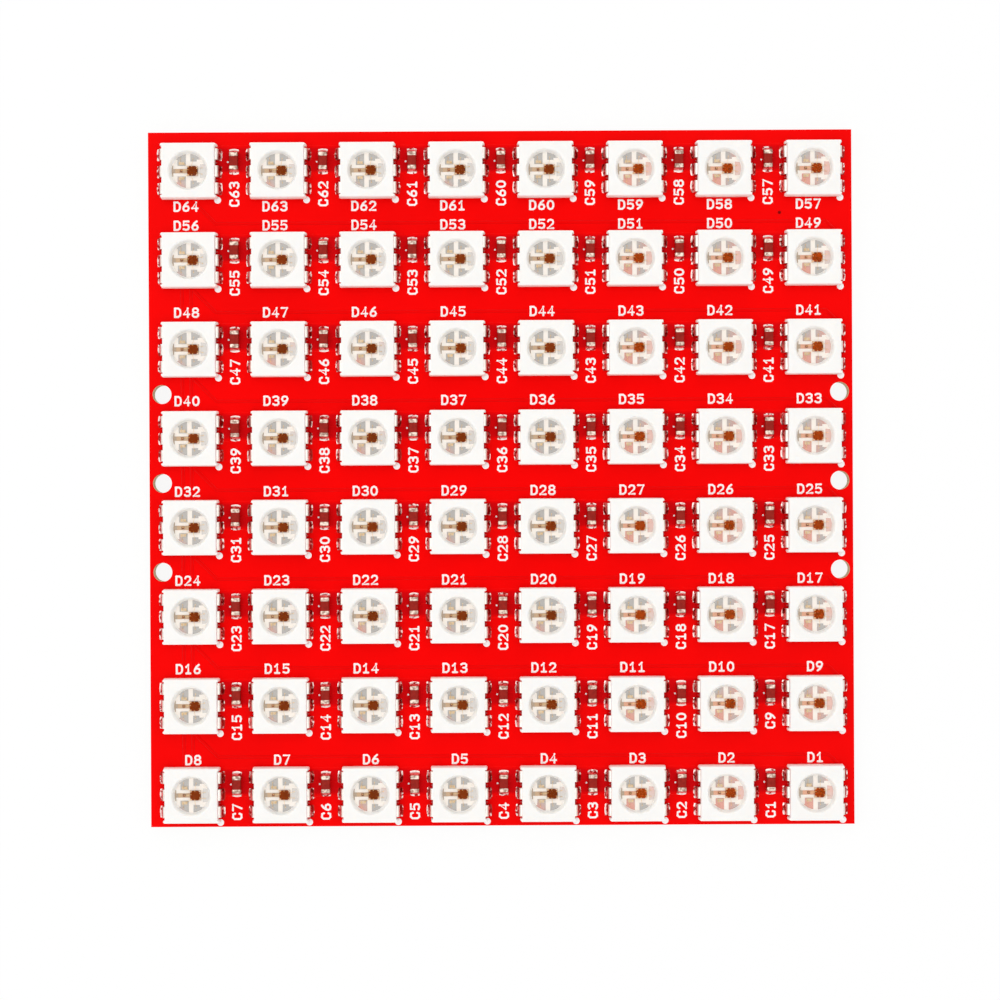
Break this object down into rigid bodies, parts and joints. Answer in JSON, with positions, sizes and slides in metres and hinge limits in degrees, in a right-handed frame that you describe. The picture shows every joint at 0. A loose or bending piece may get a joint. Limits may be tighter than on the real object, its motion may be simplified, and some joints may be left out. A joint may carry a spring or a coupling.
{
  "type": "rgb led matrix module",
  "caption": "Square red circuit board with a grid of surface-mount RGB LED packages, small capacitors between them and mounting holes along opposite edges.",
  "frame": {"origin": "centre of the board's back face, so the board lies on the XY plane with its LEDs up", "axes": "+X to the right and +Y to the top of the LED face as the picture shows it, +Z out of the LED face"},
  "size_m": [0.0632, 0.0624, 0.0032],
  "materials": {
    "circuit_board": "glossy red solder mask on glass-epoxy laminate",
    "tinned_pad": "tinned copper, satin",
    "white_housing": "moulded white reflector plastic",
    "lead_metal": "silver-plated copper strip",
    "clear_resin": "clear potting resin",
    "driver_chip": "bare silicon die, polished",
    "red_emitter": "bare emitter die",
    "green_emitter": "bare emitter die",
    "blue_emitter": "bare emitter die",
    "capacitor_ceramic": "fired ceramic, brown",
    "capacitor_terminal": "tinned metal, satin",
    "solder": "bright reflowed solder"
  },
  "bodies": {
    "root": {"circuit_board": "circuit_board", "input_wire_pads": "tinned_pad", "output_wire_pads": "tinned_pad", "led_housings_row_1": "white_housing", "led_housings_row_2": "white_housing", "led_housings_row_3": "white_housing", "led_housings_row_4": "white_housing", "led_housings_row_5": "white_housing", "led_housings_row_6": "white_housing", "led_housings_row_7": "white_housing", "led_housings_row_8": "white_housing", "lead_frames_row_1": "lead_metal", "lead_frames_row_2": "lead_metal", "lead_frames_row_3": "lead_metal", "lead_frames_row_4": "lead_metal", "lead_frames_row_5": "lead_metal", "lead_frames_row_6": "lead_metal", "lead_frames_row_7": "lead_metal", "lead_frames_row_8": "lead_metal", "clear_resin_row_1": "clear_resin", "clear_resin_row_2": "clear_resin", "clear_resin_row_3": "clear_resin", "clear_resin_row_4": "clear_resin", "clear_resin_row_5": "clear_resin", "clear_resin_row_6": "clear_resin", "clear_resin_row_7": "clear_resin", "clear_resin_row_8": "clear_resin", "driver_chips": "driver_chip", "red_emitters": "red_emitter", "green_emitters": "green_emitter", "blue_emitters": "blue_emitter", "capacitor_bodies_row_1": "capacitor_ceramic", "capacitor_bodies_row_2": "capacitor_ceramic", "capacitor_bodies_row_3": "capacitor_ceramic", "capacitor_bodies_row_4": "capacitor_ceramic", "capacitor_bodies_row_5": "capacitor_ceramic", "capacitor_bodies_row_6": "capacitor_ceramic", "capacitor_bodies_row_7": "capacitor_ceramic", "capacitor_bodies_row_8": "capacitor_ceramic", "capacitor_terminals_row_1": "capacitor_terminal", "capacitor_terminals_row_2": "capacitor_terminal", "capacitor_terminals_row_3": "capacitor_terminal", "capacitor_terminals_row_4": "capacitor_terminal", "capacitor_terminals_row_5": "capacitor_terminal", "capacitor_terminals_row_6": "capacitor_terminal", "capacitor_terminals_row_7": "capacitor_terminal", "capacitor_terminals_row_8": "capacitor_terminal", "solder_joints_row_1": "solder", "solder_joints_row_2": "solder", "solder_joints_row_3": "solder", "solder_joints_row_4": "solder", "solder_joints_row_5": "solder", "solder_joints_row_6": "solder", "solder_joints_row_7": "solder", "solder_joints_row_8": "solder"}
  },
  "joints": []
}
